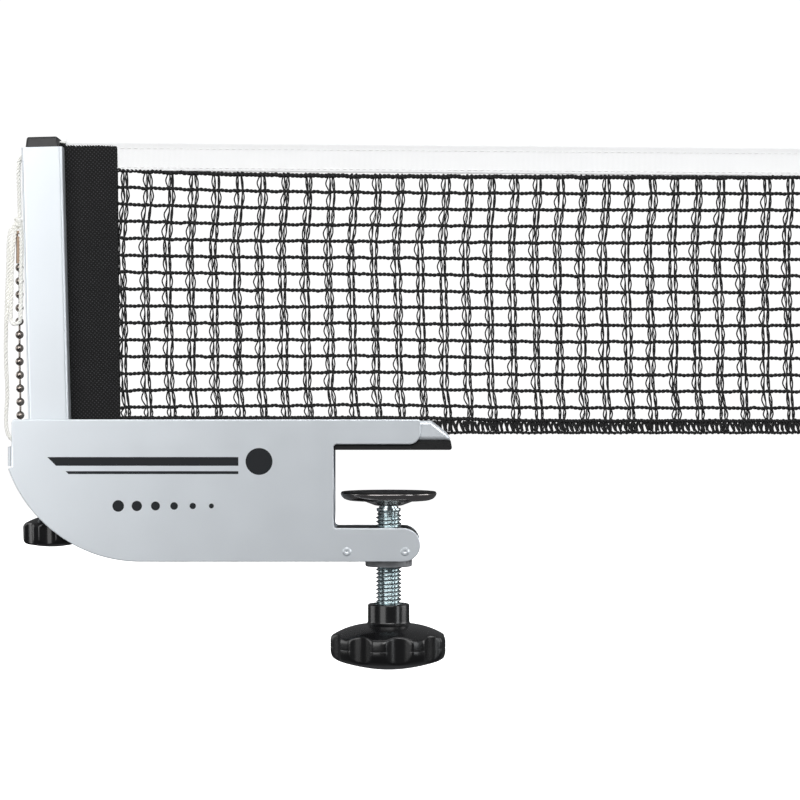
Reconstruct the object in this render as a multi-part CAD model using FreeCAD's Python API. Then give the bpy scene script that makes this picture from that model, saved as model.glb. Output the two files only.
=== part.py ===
"""Clamp-on table tennis net post with its net: a folded sheet bracket with a screw clamp, a square post
whose inner slider carries the net, a height knob under the post, and a ball chain that holds the net's cord.

Frame, in millimetres: the origin is on the table top, at the table's side edge, in the middle plane of the net.
+X runs over the table along the net, +Z is up, and -Y is the front.
"""

import FreeCAD, Part
import math
import os

Vector = FreeCAD.Vector

# ---------------------------------------------------------------- driving dimensions
# bracket: one folded sheet, two equal cheeks joined by a web at the outer end
SHEET = 1.5
HALF_GAP = 15.5
CHEEK_Y = HALF_GAP + SHEET
EDGE_ROUND = 0.5
BRACKET_TOP = 14.8
CHEEK_LEFT = -155.6
WEB_LEFT = -157.7
WEB_TOP = 1.6
WEB_BOTTOM = -7.8
WEB_BEND = 3.0
TOE_START = (-157.2, -9.0)
TOE_CENTRE_X = -93.4
BOTTOM_EDGE = -54.0
UPPER_ARM_END = 42.0
UPPER_ARM_UNDER = 2.74
UPPER_ARM_CORNER = 5.5
THROAT_CORNER = 1.6
LOWER_ARM_TOP = -37.7
LOWER_ARM_END = 41.9

# jaw that rests on the table
JAW_LEFT = -45.0
JAW_HALF_WIDTH = HALF_GAP - 0.05
JAW_WALL_TOP = 14.3
PAD_THICK = 4.6
PAD_LEFT = -3.0
PAD_RIGHT = 57.4
PAD_HALF_WIDTH = 15.0

# clamp screw, its disc and its knob
SCREW_X = 26.5
SCREW_R = 6.35
THREAD_CLEARANCE = 0.05
SCREW_SHOULDER = -28.8
SCREW_BOTTOM = -92.0
STUB_R = 4.0
STUB_TOP = -25.9
STUB_HEAD_R = 5.4
STUB_HEAD_TOP = -24.8
WASHER_R = 4.8
WASHER_BOTTOM = SCREW_SHOULDER + 0.05
WASHER_TOP = -27.95
DISC_R = 23.6
PAD_LIP_R = 23.3
PAD_TOP = -20.6
KNOB_TOP = -75.6
KNOB_BOTTOM = -107.8
KNOB_R = 28.5
KNOB_HUB_R = 10.2
KNOB_SCOOPS = 9
KNOB_SCOOP_R = 10.0
KNOB_SCOOP_DEEP = 2.9
KNOB_FIRST_SCOOP = -79.2

# nut block in the lower arm
RIVET_X = (6.4, 34.5)
RIVET_Z = -49.1
RIVET_R = 1.5
RIVET_HEAD_R = 2.2
RIVET_INNER_END = 10.0
BOSS_R = 11.5
BOSS_BOTTOM = -57.3
NUT_ACROSS_FLATS = 19.0
NUT_BOTTOM = -47.2
NUT_TOP = -39.5

# post: square tube that leans outwards a little, turned about Y at the level of the table top
LEAN = 1.44
POST_X = -138.5
POST_HALF = 10.0
POST_WALL = 1.5
POST_CORNER = 1.7
POST_TOP = 147.2
POST_BOTTOM = -24.0
POST_SLOT_HALF = 2.0
POST_SLOT_BOTTOM = 2.0
WINDOW_BOTTOM = 136.5
WINDOW_TOP = 146.0
WINDOW_HALF = 2.0
SOCKET_BOTTOM = -30.0
SOCKET_TOP = -2.0

# slider in the post, with its height spindle
SLIDER_HALF = 8.3
SLIDER_BOTTOM = 60.0
SLIDER_TOP = 146.0
CAP_TOP = 152.5
CAP_HALF = 8.25
CAP_TOP_HALF = 7.5
SPINDLE_R = 2.5
SPINDLE_TOP = 88.0
INSERT_R = 3.05
INSERT_LENGTH = 10.0
GROOVE_DX = 5.9
GROOVE_R = 2.6
ROD_R = 1.6
ROD_TOP = 138.0
SMALL_KNOB_R = 15.0
SMALL_KNOB_SCOOPS = 8
SMALL_KNOB_FIRST_SCOOP = -94.0

# net, tape and sleeve
NET_RIGHT = 232.0
SLEEVE_RIGHT = -106.4
SLEEVE_BOTTOM = 6.8
SLEEVE_TOP_LEFT = 150.2
SLEEVE_TOP_RIGHT = 148.4
SLEEVE_HALF = 1.3
TAPE_TOP = 151.6
TAPE_HEIGHT = 15.0
TAPE_HALF = 0.8
TAPE_DROP = 2.72
TAPE_LEFT = -131.6
TAPE_BEAD_R = 1.8
NET_BOTTOM = 7.6
NET_HALF = 0.2
CORD_R = 1.1

# ball chain
BEAD_R = 2.0
BEAD_PITCH = 6.57
BEAD_COUNT = 17
LOWEST_BEAD = -9.58 - BEAD_PITCH
LINK_R = 0.55
CHAIN_X = -154.4
CHAIN_X_IN_BRACKET = -154.0
CLASP_TOP = 107.0
KNOT_R = 2.2
KNOT_TOP = 114.3

# cord routes, (x, y, z) of the corners of each route
DROP_ROUTE = [
    (-151.0, 0.0, 144.3),
    (-153.2, -0.1, 143.8),
    (-154.6, -0.3, 141.2),
    (-154.9, -0.6, 136.0),
    (-154.6, -0.4, 126.0),
    (-154.3, 0.0, 113.6),
]
LOOP_ROUTE = [
    (-153.5, -1.4, 108.4),
    (-152.8, -2.9, 100.5),
    (-153.2, -3.2, 86.0),
    (-153.1, -3.2, 73.5),
    (-153.4, -3.2, 66.5),
    (-153.5, -3.2, 62.9),
    (-154.9, -3.1, 61.4),
    (-157.0, -2.2, 61.2),
    (-158.4, -1.4, 62.8),
    (-158.7, -0.6, 67.0),
    (-158.4, 0.2, 75.5),
    (-158.3, 0.3, 89.0),
    (-157.4, -0.4, 101.0),
    (-156.0, -1.0, 109.2),
]
TAIL_ROUTE = [
    (-155.6, -0.6, 110.2),
    (-157.4, -0.7, 109.4),
    (-158.9, -0.8, 107.0),
    (-159.6, -0.9, 101.5),
    (-159.8, -0.5, 91.5),
    (-160.6, 0.5, 76.0),
    (-161.4, 1.8, 58.0),
    (-161.7, 3.2, 41.0),
    (-160.9, 4.4, 28.0),
    (-162.0, 5.4, 17.0),
    (-162.0, 6.0, 10.5),
    (-160.8, 6.4, 6.2),
    (-158.4, 6.5, 4.0),
    (-155.8, 6.6, 3.1),
    (-154.0, 6.7, 0.9),
    (-153.5, 6.8, -2.6),
]


# ---------------------------------------------------------------- shape helpers
def box(x0, x1, y0, y1, z0, z1):
    return Part.makeBox(x1 - x0, y1 - y0, z1 - z0, Vector(x0, y0, z0))


def post_cylinder(x, radius, z0, z1, y=0.0):
    """An upright cylinder."""
    return Part.makeCylinder(radius, z1 - z0, Vector(x, y, z0), Vector(0, 0, 1))


def rod_along(radius, start, end):
    axis = Vector(*end) - Vector(*start)
    return Part.makeCylinder(radius, axis.Length, Vector(*start), axis)


def rounded_loop(corners):
    """A closed wire through corners (point, radius), each corner turned into an arc of its radius."""
    ends = []
    count = len(corners)
    for i, (here, radius) in enumerate(corners):
        before = (corners[i - 1][0] - here).normalize()
        after = (corners[(i + 1) % count][0] - here).normalize()
        if radius == 0:
            ends.append((here, None, here))
            continue
        half_angle = before.getAngle(after) / 2
        bisector = (before + after).normalize()
        reach = radius / math.tan(half_angle)
        middle = here + bisector * (radius / math.sin(half_angle) - radius)
        ends.append((here + before * reach, middle, here + after * reach))
    edges = []
    for i, (start, middle, end) in enumerate(ends):
        if middle is not None:
            edges.append(Part.Arc(start, middle, end).toShape())
        following = ends[(i + 1) % count][0]
        if (following - end).Length > 1e-4:
            edges.append(Part.LineSegment(end, following).toShape())
    return Part.Wire(edges)


def side_plate(corners, y0, y1):
    """A plate in the XZ plane from corners (x, z, radius), between y0 and y1."""
    wire = rounded_loop([(Vector(x, y0, z), radius) for x, z, radius in corners])
    return Part.Face(wire).extrude(Vector(0, y1 - y0, 0))


def square_bar(x, half, corner, z0, z1):
    """An upright square bar with rounded corners."""
    corners = [(x - half, -half), (x + half, -half), (x + half, half), (x - half, half)]
    wire = rounded_loop([(Vector(a, b, z0), corner) for a, b in corners])
    return Part.Face(wire).extrude(Vector(0, 0, z1 - z0))


def turned(x, profile):
    """A solid turned about the upright axis at x from a closed profile of (radius, z)."""
    points = [Vector(x + r, 0, z) for r, z in profile]
    face = Part.Face(Part.makePolygon(points + points[:1]))
    return face.revolve(Vector(x, 0, 0), Vector(0, 0, 1), 360)


def arc_points(start, end, sag, count=6):
    """(radius, z) points from start to end along a shallow arc that bulges by sag."""
    (r0, z0), (r1, z1) = start, end
    chord = math.hypot(r1 - r0, z1 - z0)
    nr, nz = (z1 - z0) / chord, -(r1 - r0) / chord
    out = []
    for i in range(count + 1):
        t = i / count
        bulge = 4 * sag * t * (1 - t)
        out.append((r0 + (r1 - r0) * t + nr * bulge, z0 + (z1 - z0) * t + nz * bulge))
    return out


def hexagon_bar(x, across_flats, z0, z1):
    radius = across_flats / math.sqrt(3)
    points = [
        Vector(x + radius * math.cos(math.radians(60 * i + 30)), radius * math.sin(math.radians(60 * i + 30)), z0)
        for i in range(6)
    ]
    return Part.Face(Part.makePolygon(points + points[:1])).extrude(Vector(0, 0, z1 - z0))


def leaned(shape):
    """The shape turned with the post, outwards about the Y axis."""
    out = shape.copy()
    out.rotate(Vector(POST_X, 0, 0), Vector(0, 1, 0), -LEAN)
    return out


def post_axis_x(z):
    return POST_X - z * math.tan(math.radians(LEAN))


def cord_tube(route, radius, name):
    """A round tube along straight runs joined by the largest tangent arcs that the runs allow."""
    points = [Vector(*p) for p in route]
    edges, radii = [], []
    at = points[0]
    for before, here, after in zip(points, points[1:], points[2:]):
        into, out = here - before, after - here
        turn = into.getAngle(out)
        reach = 0.45 * min(into.Length, out.Length)
        bend = reach / math.tan(turn / 2)
        radii.append(bend)
        u, v = into.normalize(), out.normalize()
        start, end = here - u * reach, here + v * reach
        inward = (v - u).normalize()
        middle = here + inward * (bend / math.cos(turn / 2) - bend)
        edges.append(Part.LineSegment(at, start).toShape())
        edges.append(Part.Arc(start, middle, end).toShape())
        at = end
    edges.append(Part.LineSegment(at, points[-1]).toShape())
    path = Part.Wire(edges)
    first = points[1] - points[0]
    ring = Part.Wire(Part.Circle(points[0], first, radius).toShape())
    tube = path.makePipeShell([ring], True, False)
    ideal = math.pi * radius**2 * path.Length
    print(f"{name}: length {path.Length:.1f} mm, radii {[round(r, 1) for r in radii]}, volume {tube.Volume / ideal:.3f}")
    return tube


def scooped(solid, x, rim, count, first, scoop_r, deep, z0, z1):
    """The solid with upright round scoops cut around its rim."""
    centre = rim - deep + scoop_r
    for i in range(count):
        angle = math.radians(first + i * 360 / count)
        cutter = post_cylinder(x + centre * math.cos(angle), scoop_r, z0, z1, centre * math.sin(angle))
        solid = solid.cut(cutter)
    return solid


# ---------------------------------------------------------------- bracket body
def cheek_corners():
    """The cheek's outline: heel at the upper left, round toe at the lower left, throat and two arms at the right."""
    start_x, start_z = TOE_START
    down_to = BOTTOM_EDGE
    # the toe's arc leaves TOE_START and meets the bottom edge at TOE_CENTRE_X
    half_width = TOE_CENTRE_X - start_x
    drop = start_z - down_to
    toe_r = (half_width**2 + drop**2) / (2 * drop)
    centre_z = down_to + toe_r
    tangent_x, tangent_z = centre_z - start_z, -(TOE_CENTRE_X - start_x)
    toe_corner_x = start_x + tangent_x * (down_to - start_z) / tangent_z
    arm_end_r = (LOWER_ARM_TOP - BOTTOM_EDGE) / 2
    # the notch under the web's bend is cut square to the toe's arc
    bend_end = WEB_LEFT + WEB_BEND
    notch_z = start_z + (bend_end - start_x) * (centre_z - start_z) / half_width
    return [
        (CHEEK_LEFT, BRACKET_TOP, 1.8),
        (UPPER_ARM_END, BRACKET_TOP, 1.0),
        (UPPER_ARM_END, UPPER_ARM_UNDER, UPPER_ARM_CORNER),
        (0.0, UPPER_ARM_UNDER, THROAT_CORNER),
        (0.0, LOWER_ARM_TOP, THROAT_CORNER),
        (LOWER_ARM_END, LOWER_ARM_TOP, arm_end_r * 0.999),
        (LOWER_ARM_END, BOTTOM_EDGE, arm_end_r * 0.999),
        (toe_corner_x, BOTTOM_EDGE, toe_r),
        (start_x, start_z, 0),
        (bend_end, notch_z, 0),
        (bend_end, WEB_TOP, 0),
        (CHEEK_LEFT, WEB_TOP, 0),
    ]


def bracket_shell():
    corners = cheek_corners()
    holes = [rod_along(RIVET_R + 0.05, (x, -CHEEK_Y - 1, RIVET_Z), (x, CHEEK_Y + 1, RIVET_Z)) for x in RIVET_X]
    front = side_plate(corners, -CHEEK_Y, -HALF_GAP)
    outer_edges = [
        e
        for e in front.Edges
        if e.BoundBox.YMax < -CHEEK_Y + 0.01 and not (e.BoundBox.XMax < CHEEK_LEFT + 1.5 and e.BoundBox.ZMax < 3)
    ]
    front = front.makeFillet(EDGE_ROUND, outer_edges)
    back = front.mirror(Vector(0, 0, 0), Vector(0, 1, 0))
    bend_end = WEB_LEFT + WEB_BEND
    ring = []
    for inset, bend in ((0.0, WEB_BEND), (SHEET, WEB_BEND - SHEET)):
        left, side = WEB_LEFT + inset, CHEEK_Y - inset
        loop = [(bend_end, -side, 0), (left, -side, bend), (left, side, bend), (bend_end, side, 0)]
        wire = rounded_loop([(Vector(x, y, WEB_BOTTOM), r) for x, y, r in loop])
        ring.append(Part.Face(wire).extrude(Vector(0, 0, WEB_TOP - WEB_BOTTOM)))
    web = ring[0].cut(ring[1])
    shell = front.fuse([web, back]).removeSplitter()
    return shell.cut(holes)


def jaw_channel():
    """A folded channel, open at the top so that the net's lower edge can lie in it, with a sloping nose."""
    nose = [
        (JAW_LEFT, JAW_WALL_TOP, 1.0),
        (47.3, JAW_WALL_TOP, 1.5),
        (54.8, 8.5, 3.0),
        (56.9, PAD_THICK, 0.8),
        (JAW_LEFT, PAD_THICK, 0),
    ]
    block = side_plate(nose, -JAW_HALF_WIDTH, JAW_HALF_WIDTH)
    low_edges = [
        e
        for e in block.Edges
        if e.BoundBox.ZMax < PAD_THICK + 0.01 and abs(abs(e.BoundBox.Center.y) - JAW_HALF_WIDTH) < 0.01
    ]
    block = block.makeFillet(2.0, [e for e in low_edges if e.Length > 20])
    inside = JAW_HALF_WIDTH - SHEET
    hollow = box(JAW_LEFT - 1, 60, -inside, inside, PAD_THICK + SHEET, JAW_WALL_TOP + 1)
    return block.cut(hollow)


def jaw_pad():
    corners = [
        (PAD_LEFT, PAD_THICK - 0.02, 0),
        (PAD_RIGHT - 0.8, PAD_THICK - 0.02, 0.3),
        (PAD_RIGHT, 0.0, 1.2),
        (PAD_LEFT, 0.0, 0.8),
    ]
    return side_plate(corners, -PAD_HALF_WIDTH, PAD_HALF_WIDTH)


def post_socket():
    block = box(POST_X - 11.6, POST_X + 14.0, -HALF_GAP + 0.1, HALF_GAP - 0.1, SOCKET_BOTTOM, SOCKET_TOP)
    seat = box(POST_X - 10.1, POST_X + 10.1, -10.1, 10.1, POST_BOTTOM, SOCKET_TOP + 1)
    clip_room = post_cylinder(POST_X, 7.0, SOCKET_BOTTOM + 3, POST_BOTTOM + 1)
    floor_hole = post_cylinder(POST_X, 5.0, SOCKET_BOTTOM - 1, SOCKET_BOTTOM + 4)
    return leaned(block.cut([seat, clip_room, floor_hole]))


def post_tube():
    outer = square_bar(POST_X, POST_HALF, POST_CORNER, POST_BOTTOM, POST_TOP)
    inner_half = POST_HALF - POST_WALL
    inner = square_bar(POST_X, inner_half, POST_CORNER - 1.2, POST_BOTTOM - 1, POST_TOP + 1)
    slot = box(
        POST_X + inner_half - 1, POST_X + POST_HALF + 1, -POST_SLOT_HALF, POST_SLOT_HALF, POST_SLOT_BOTTOM, POST_TOP + 1
    )
    window = box(
        POST_X - POST_HALF - 1, POST_X - inner_half + 1, -WINDOW_HALF, WINDOW_HALF, WINDOW_BOTTOM, WINDOW_TOP
    )
    return leaned(outer.cut([inner, slot, window]))


def chain_catch():
    """A steel plate across the bracket's outer end with a keyhole: beads pass its wide end, its slot holds a link."""
    under = LOWEST_BEAD + 2 * BEAD_PITCH + BEAD_R + 0.1
    left = WEB_LEFT + SHEET + 0.05
    right = POST_X - 11.6 - 0.3
    plate = box(left, right, -5.2, 5.2, under, under + 1.2)
    slot = box(CHAIN_X_IN_BRACKET - 0.9, CHAIN_X_IN_BRACKET + 0.9, -4.4, 0.0, under - 1, under + 3)
    half = BEAD_R + 0.15
    bead_hole = post_cylinder(CHAIN_X_IN_BRACKET, half, under - 1, under + 3)
    mouth = box(left - 1, CHAIN_X_IN_BRACKET, -half, half, under - 1, under + 3)
    return plate.cut([slot, bead_hole, mouth])


def spindle_bearing():
    """Flanged bush in the socket's floor."""
    sleeve = post_cylinder(POST_X, 4.95, SOCKET_BOTTOM - 1, SOCKET_BOTTOM + 3)
    flange = post_cylinder(POST_X, 7.5, SOCKET_BOTTOM - 1, SOCKET_BOTTOM - 0.05)
    bore = post_cylinder(POST_X, SPINDLE_R + THREAD_CLEARANCE, SOCKET_BOTTOM - 2, SOCKET_BOTTOM + 4)
    return leaned(sleeve.fuse(flange).cut(bore).removeSplitter())


def nut_block():
    """Plastic block between the cheeks of the lower arm, with a round boss below and a pocket for the nut."""
    inside = HALF_GAP - 0.1
    low, high = BOTTOM_EDGE + 0.4, LOWER_ARM_TOP - 0.4
    end_r = (high - low) / 2 * 0.999
    right = LOWER_ARM_END - 0.5
    body = side_plate([(1.0, high, 0), (right, high, end_r), (right, low, end_r), (1.0, low, 0)], -inside, inside)
    boss = post_cylinder(SCREW_X, BOSS_R, BOSS_BOTTOM, BOTTOM_EDGE + 1)
    boss = boss.makeFillet(0.8, [e for e in boss.Edges if e.BoundBox.ZMax < BOSS_BOTTOM + 0.01])
    block = body.fuse(boss)
    bore = post_cylinder(SCREW_X, SCREW_R + 0.6, BOSS_BOTTOM - 1, LOWER_ARM_TOP)
    pocket = hexagon_bar(SCREW_X, NUT_ACROSS_FLATS + 0.1, NUT_BOTTOM - 0.05, LOWER_ARM_TOP + 1)
    holes = []
    for x in RIVET_X:
        for side in (-1, 1):
            inner_end = side * (RIVET_INNER_END - 0.3)
            holes.append(rod_along(RIVET_R + 0.05, (x, inner_end, RIVET_Z), (x, side * 20, RIVET_Z)))
    return block.cut([bore, pocket] + holes).removeSplitter()


def clamp_nut():
    bar = hexagon_bar(SCREW_X, NUT_ACROSS_FLATS, NUT_BOTTOM, NUT_TOP)
    return bar.cut(post_cylinder(SCREW_X, SCREW_R + THREAD_CLEARANCE, NUT_BOTTOM - 1, NUT_TOP + 1))


def nut_block_rivets():
    """Short rivets that hold each cheek to the nut block, with domed heads."""
    rivets = []
    for x in RIVET_X:
        for side in (-1, 1):
            face = side * (CHEEK_Y + 0.02)
            shank = rod_along(RIVET_R, (x, side * RIVET_INNER_END, RIVET_Z), (x, face + side * 0.1, RIVET_Z))
            head = Part.makeCone(
                RIVET_HEAD_R, RIVET_HEAD_R - 0.7, 0.7, Vector(x, face, RIVET_Z), Vector(0, side, 0)
            )
            dimple = Part.makeSphere(1.2, Vector(x, face + side * 1.5, RIVET_Z))
            rivets.append(shank.fuse(head).cut(dimple))
    return Part.makeCompound(rivets)


# ---------------------------------------------------------------- height knob body
def height_knob():
    hub_top = SOCKET_BOTTOM - 1.3
    profile = [(SPINDLE_R, hub_top), (5.0, hub_top), (5.4, -32.6)]
    profile += arc_points((5.4, -32.6), (13.8, -35.6), -0.6)[1:]
    profile += [(SMALL_KNOB_R, -36.8), (SMALL_KNOB_R, -44.4), (13.8, -45.8)]
    profile += arc_points((13.8, -45.8), (0, -47.7), -0.5)[1:]
    profile += [(0, -41.0), (SPINDLE_R, -41.0)]
    solid = turned(POST_X, profile)
    solid = scooped(solid, POST_X, SMALL_KNOB_R, SMALL_KNOB_SCOOPS, SMALL_KNOB_FIRST_SCOOP, 7.0, 1.7, -50, -30)
    return leaned(solid)


def height_spindle():
    rod = post_cylinder(POST_X, SPINDLE_R, -40.95, SPINDLE_TOP)
    groove = post_cylinder(POST_X, SPINDLE_R + 1, SOCKET_BOTTOM + 3.2, SOCKET_BOTTOM + 4.0)
    groove = groove.cut(post_cylinder(POST_X, SPINDLE_R - 0.5, SOCKET_BOTTOM + 3, SOCKET_BOTTOM + 5))
    return leaned(rod.cut(groove))


def spindle_clip():
    ring = post_cylinder(POST_X, 4.8, SOCKET_BOTTOM + 3.25, SOCKET_BOTTOM + 3.95)
    ring = ring.cut(post_cylinder(POST_X, SPINDLE_R - 0.48, SOCKET_BOTTOM + 3, SOCKET_BOTTOM + 5))
    mouth = box(POST_X, POST_X + 6, -1.6, 1.6, SOCKET_BOTTOM + 3, SOCKET_BOTTOM + 5)
    return leaned(ring.cut(mouth))


# ---------------------------------------------------------------- height slider body
def slider_core():
    """Hollow bar with a groove for the keder rod, a nut seat below and a channel for the cord at its top."""
    bar = square_bar(POST_X, SLIDER_HALF, 0.8, SLIDER_BOTTOM, SLIDER_TOP)
    groove_x = POST_X + GROOVE_DX
    groove = post_cylinder(groove_x, GROOVE_R, SLIDER_BOTTOM - 1, SLIDER_TOP + 1)
    mouth = box(groove_x, POST_X + SLIDER_HALF + 1, -1.45, 1.45, SLIDER_BOTTOM - 1, SLIDER_TOP + 1)
    spindle_room = post_cylinder(POST_X, SPINDLE_R + 0.3, SLIDER_BOTTOM + INSERT_LENGTH, SPINDLE_TOP + 6)
    hollow_bottom = SLIDER_BOTTOM + INSERT_LENGTH + 2
    hollow = box(POST_X - 7.1, POST_X + 2.4, -7.1, 7.1, hollow_bottom, WINDOW_BOTTOM - 4)
    insert_seat = post_cylinder(POST_X, INSERT_R + 0.02, SLIDER_BOTTOM - 1, SLIDER_BOTTOM + INSERT_LENGTH)
    cord_channel = box(POST_X - 6.2, POST_X - 2.6, -1.5, 1.5, WINDOW_BOTTOM - 1, SLIDER_TOP + 1)
    cord_recess = box(POST_X - SLIDER_HALF - 1, POST_X - 5, -1.5, 1.5, WINDOW_BOTTOM - 3, SLIDER_TOP + 1)
    return leaned(bar.cut([groove, mouth, spindle_room, hollow, insert_seat, cord_channel, cord_recess]))


def slider_cap():
    """Tapered plug on top of the slider, with rounded edges and a passage for the cord."""
    low = SLIDER_TOP + 0.02
    shoulder = POST_TOP - 0.4
    faces = []
    for half, z in ((CAP_HALF, low), (CAP_HALF, shoulder), (CAP_TOP_HALF, CAP_TOP)):
        corners = [(-half, -half), (half, -half), (half, half), (-half, half)]
        faces.append(rounded_loop([(Vector(POST_X + a, b, z), 1.4) for a, b in corners]))
    plug = Part.makeLoft(faces, True, True)
    plug = plug.makeFillet(1.2, [e for e in plug.Edges if e.BoundBox.ZMin > CAP_TOP - 0.01])
    turn_room = box(POST_X - 6.4, POST_X - 2.6, -1.5, 1.5, low - 1, low + 5.6)
    entry = box(POST_X - 4.0, POST_X + 9, -1.3, 1.3, 148.4, 151.8)
    groove_x = POST_X + GROOVE_DX
    sleeve_room = box(groove_x - GROOVE_R, POST_X + 9, -1.45, 1.45, low - 1, 150.9)
    return leaned(plug.cut([turn_room, entry, sleeve_room]))


def slider_nut():
    """Threaded insert in the slider's lower end."""
    ring = post_cylinder(POST_X, INSERT_R, SLIDER_BOTTOM, SLIDER_BOTTOM + INSERT_LENGTH - 0.1)
    return leaned(ring.cut(post_cylinder(POST_X, SPINDLE_R + THREAD_CLEARANCE, SLIDER_BOTTOM - 1, SPINDLE_TOP)))


def keder_rod():
    return leaned(post_cylinder(POST_X + GROOVE_DX, ROD_R, SLEEVE_BOTTOM + 1, ROD_TOP))


def tape_top(x):
    return TAPE_TOP - TAPE_DROP * (x - SLEEVE_RIGHT) / (NET_RIGHT - SLEEVE_RIGHT)


def cord_in_tape(x):
    return (x, 0.0, tape_top(x) - TAPE_BEAD_R)


def head_cord_route():
    turn_x = post_axis_x(147) - 4.4
    return [
        cord_in_tape(NET_RIGHT + 5.0),
        cord_in_tape(turn_x),
        (turn_x - 0.1, 0.0, 141.2),
        (turn_x - 3.5, 0.0, 141.0),
    ]


def net_sleeve():
    """Woven end sleeve: a flat double layer that wraps the rod in the slider's groove."""
    left_low = post_axis_x(SLEEVE_BOTTOM) + GROOVE_DX
    left_high = post_axis_x(SLEEVE_TOP_LEFT) + GROOVE_DX
    corners = [
        (left_low, SLEEVE_BOTTOM, 0),
        (SLEEVE_RIGHT, SLEEVE_BOTTOM, 0),
        (SLEEVE_RIGHT, SLEEVE_TOP_RIGHT, 1.0),
        (left_high, SLEEVE_TOP_LEFT, 0),
    ]
    slab = side_plate(corners, -SLEEVE_HALF, SLEEVE_HALF)
    wrap = leaned(post_cylinder(POST_X + GROOVE_DX, GROOVE_R - 0.25, SLEEVE_BOTTOM + 0.3, ROD_TOP + 2))
    rod_room = leaned(post_cylinder(POST_X + GROOVE_DX, ROD_R + 0.05, SLEEVE_BOTTOM - 2, ROD_TOP + 0.3))
    tape_room = rod_along(TAPE_BEAD_R + 0.1, cord_in_tape(-150), cord_in_tape(-100))
    return slab.fuse(wrap).cut([rod_room, tape_room])


def head_tape():
    """White tape folded over the head cord, its fold at the top."""
    left, right = TAPE_LEFT, NET_RIGHT
    sleeve_clear = SLEEVE_RIGHT + 0.1
    centre_low = -TAPE_BEAD_R
    corners = [
        (left, tape_top(left) + centre_low, 0),
        (right, tape_top(right) + centre_low, 0),
        (right, tape_top(right) - TAPE_HEIGHT, 0),
        (sleeve_clear, tape_top(sleeve_clear) - TAPE_HEIGHT, 0),
        (sleeve_clear, tape_top(sleeve_clear) + centre_low - 0.05, 0),
        (left, tape_top(left) + centre_low - 0.05, 0),
    ]
    slab = side_plate(corners, -TAPE_HALF, TAPE_HALF)
    fold = rod_along(TAPE_BEAD_R, cord_in_tape(left), cord_in_tape(right))
    bore = rod_along(CORD_R + 0.1, cord_in_tape(left - 5), cord_in_tape(right + 5))
    return slab.fuse(fold).cut(bore)


def net_mesh():
    left = SLEEVE_RIGHT + 0.1
    corners = [
        (left, NET_BOTTOM, 0),
        (NET_RIGHT, NET_BOTTOM, 0),
        (NET_RIGHT, tape_top(NET_RIGHT) - TAPE_HEIGHT - 0.05, 0),
        (left, tape_top(left) - TAPE_HEIGHT - 0.05, 0),
    ]
    return side_plate(corners, -NET_HALF, NET_HALF)


# ---------------------------------------------------------------- tension chain body
def bead_centres():
    """Bead centres from the lowest up. The chain leans a little away from the web where it enters the bracket."""
    centres = []
    for i in range(BEAD_COUNT):
        z = LOWEST_BEAD + i * BEAD_PITCH
        share = min(max((z - 24) / 20, 0), 1)
        centres.append(Vector(CHAIN_X_IN_BRACKET + (CHAIN_X - CHAIN_X_IN_BRACKET) * share, 0, z))
    return centres


def chain_beads():
    return Part.makeCompound([Part.makeSphere(BEAD_R, c) for c in bead_centres()])


def chain_links():
    links = []
    centres = bead_centres()
    for low, high in zip(centres, centres[1:]):
        along = (high - low).normalize()
        links.append(
            rod_along(LINK_R, tuple(low + along * (BEAD_R + 0.03)), tuple(high - along * (BEAD_R + 0.03)))
        )
    return Part.makeCompound(links)


def chain_clasp():
    """Crimped clasp over the chain's last bead, with an eye at its top for the cord."""
    top_bead = bead_centres()[-1]
    x, low = top_bead.x, top_bead.z + BEAD_R + 0.1
    body = box(x - 1.6, x + 1.6, -1.4, 1.4, low, CLASP_TOP)
    body = body.makeFillet(1.0, [e for e in body.Edges if e.BoundBox.ZLength > 5])
    eye = rod_along(0.9, (x, -5, CLASP_TOP - 2.0), (x, 5, CLASP_TOP - 2.0))
    waist = box(x - 3, x + 3, -0.8, 0.8, low + 3.5, low + 8.5)
    return body.cut([eye, waist])


def cord_knot():
    """Hitch that ties the cord's drop, its loop and its tail together over the clasp."""
    x, y = -154.7, -0.4
    knot = post_cylinder(x, KNOT_R, CLASP_TOP + 0.1, KNOT_TOP, y)
    return knot.makeFillet(1.2, [e for e in knot.Edges if e.BoundBox.ZLength < 0.01])


def tail_knot():
    """Stopper knot at the end of the tail, inside the bracket."""
    end = Vector(*TAIL_ROUTE[-1])
    return Part.makeSphere(1.9, end - Vector(0, 0, 2.25))


# ---------------------------------------------------------------- screw bodies
def thrust_washer():
    ring = post_cylinder(SCREW_X, WASHER_R, WASHER_BOTTOM, WASHER_TOP)
    return ring.cut(post_cylinder(SCREW_X, STUB_R + THREAD_CLEARANCE, WASHER_BOTTOM - 1, WASHER_TOP + 1))


def clamp_screw():
    """Shank at the crest of its thread, with a stub whose peened head holds the disc."""
    profile = [
        (0, SCREW_BOTTOM),
        (SCREW_R - 1, SCREW_BOTTOM),
        (SCREW_R, SCREW_BOTTOM + 1),
        (SCREW_R, SCREW_SHOULDER - 0.8),
        (SCREW_R - 0.8, SCREW_SHOULDER),
        (STUB_R, SCREW_SHOULDER),
        (STUB_R, STUB_TOP),
        (STUB_HEAD_R, STUB_TOP),
        (STUB_HEAD_R - 0.6, STUB_HEAD_TOP),
        (0, STUB_HEAD_TOP),
    ]
    return turned(SCREW_X, profile)


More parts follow.
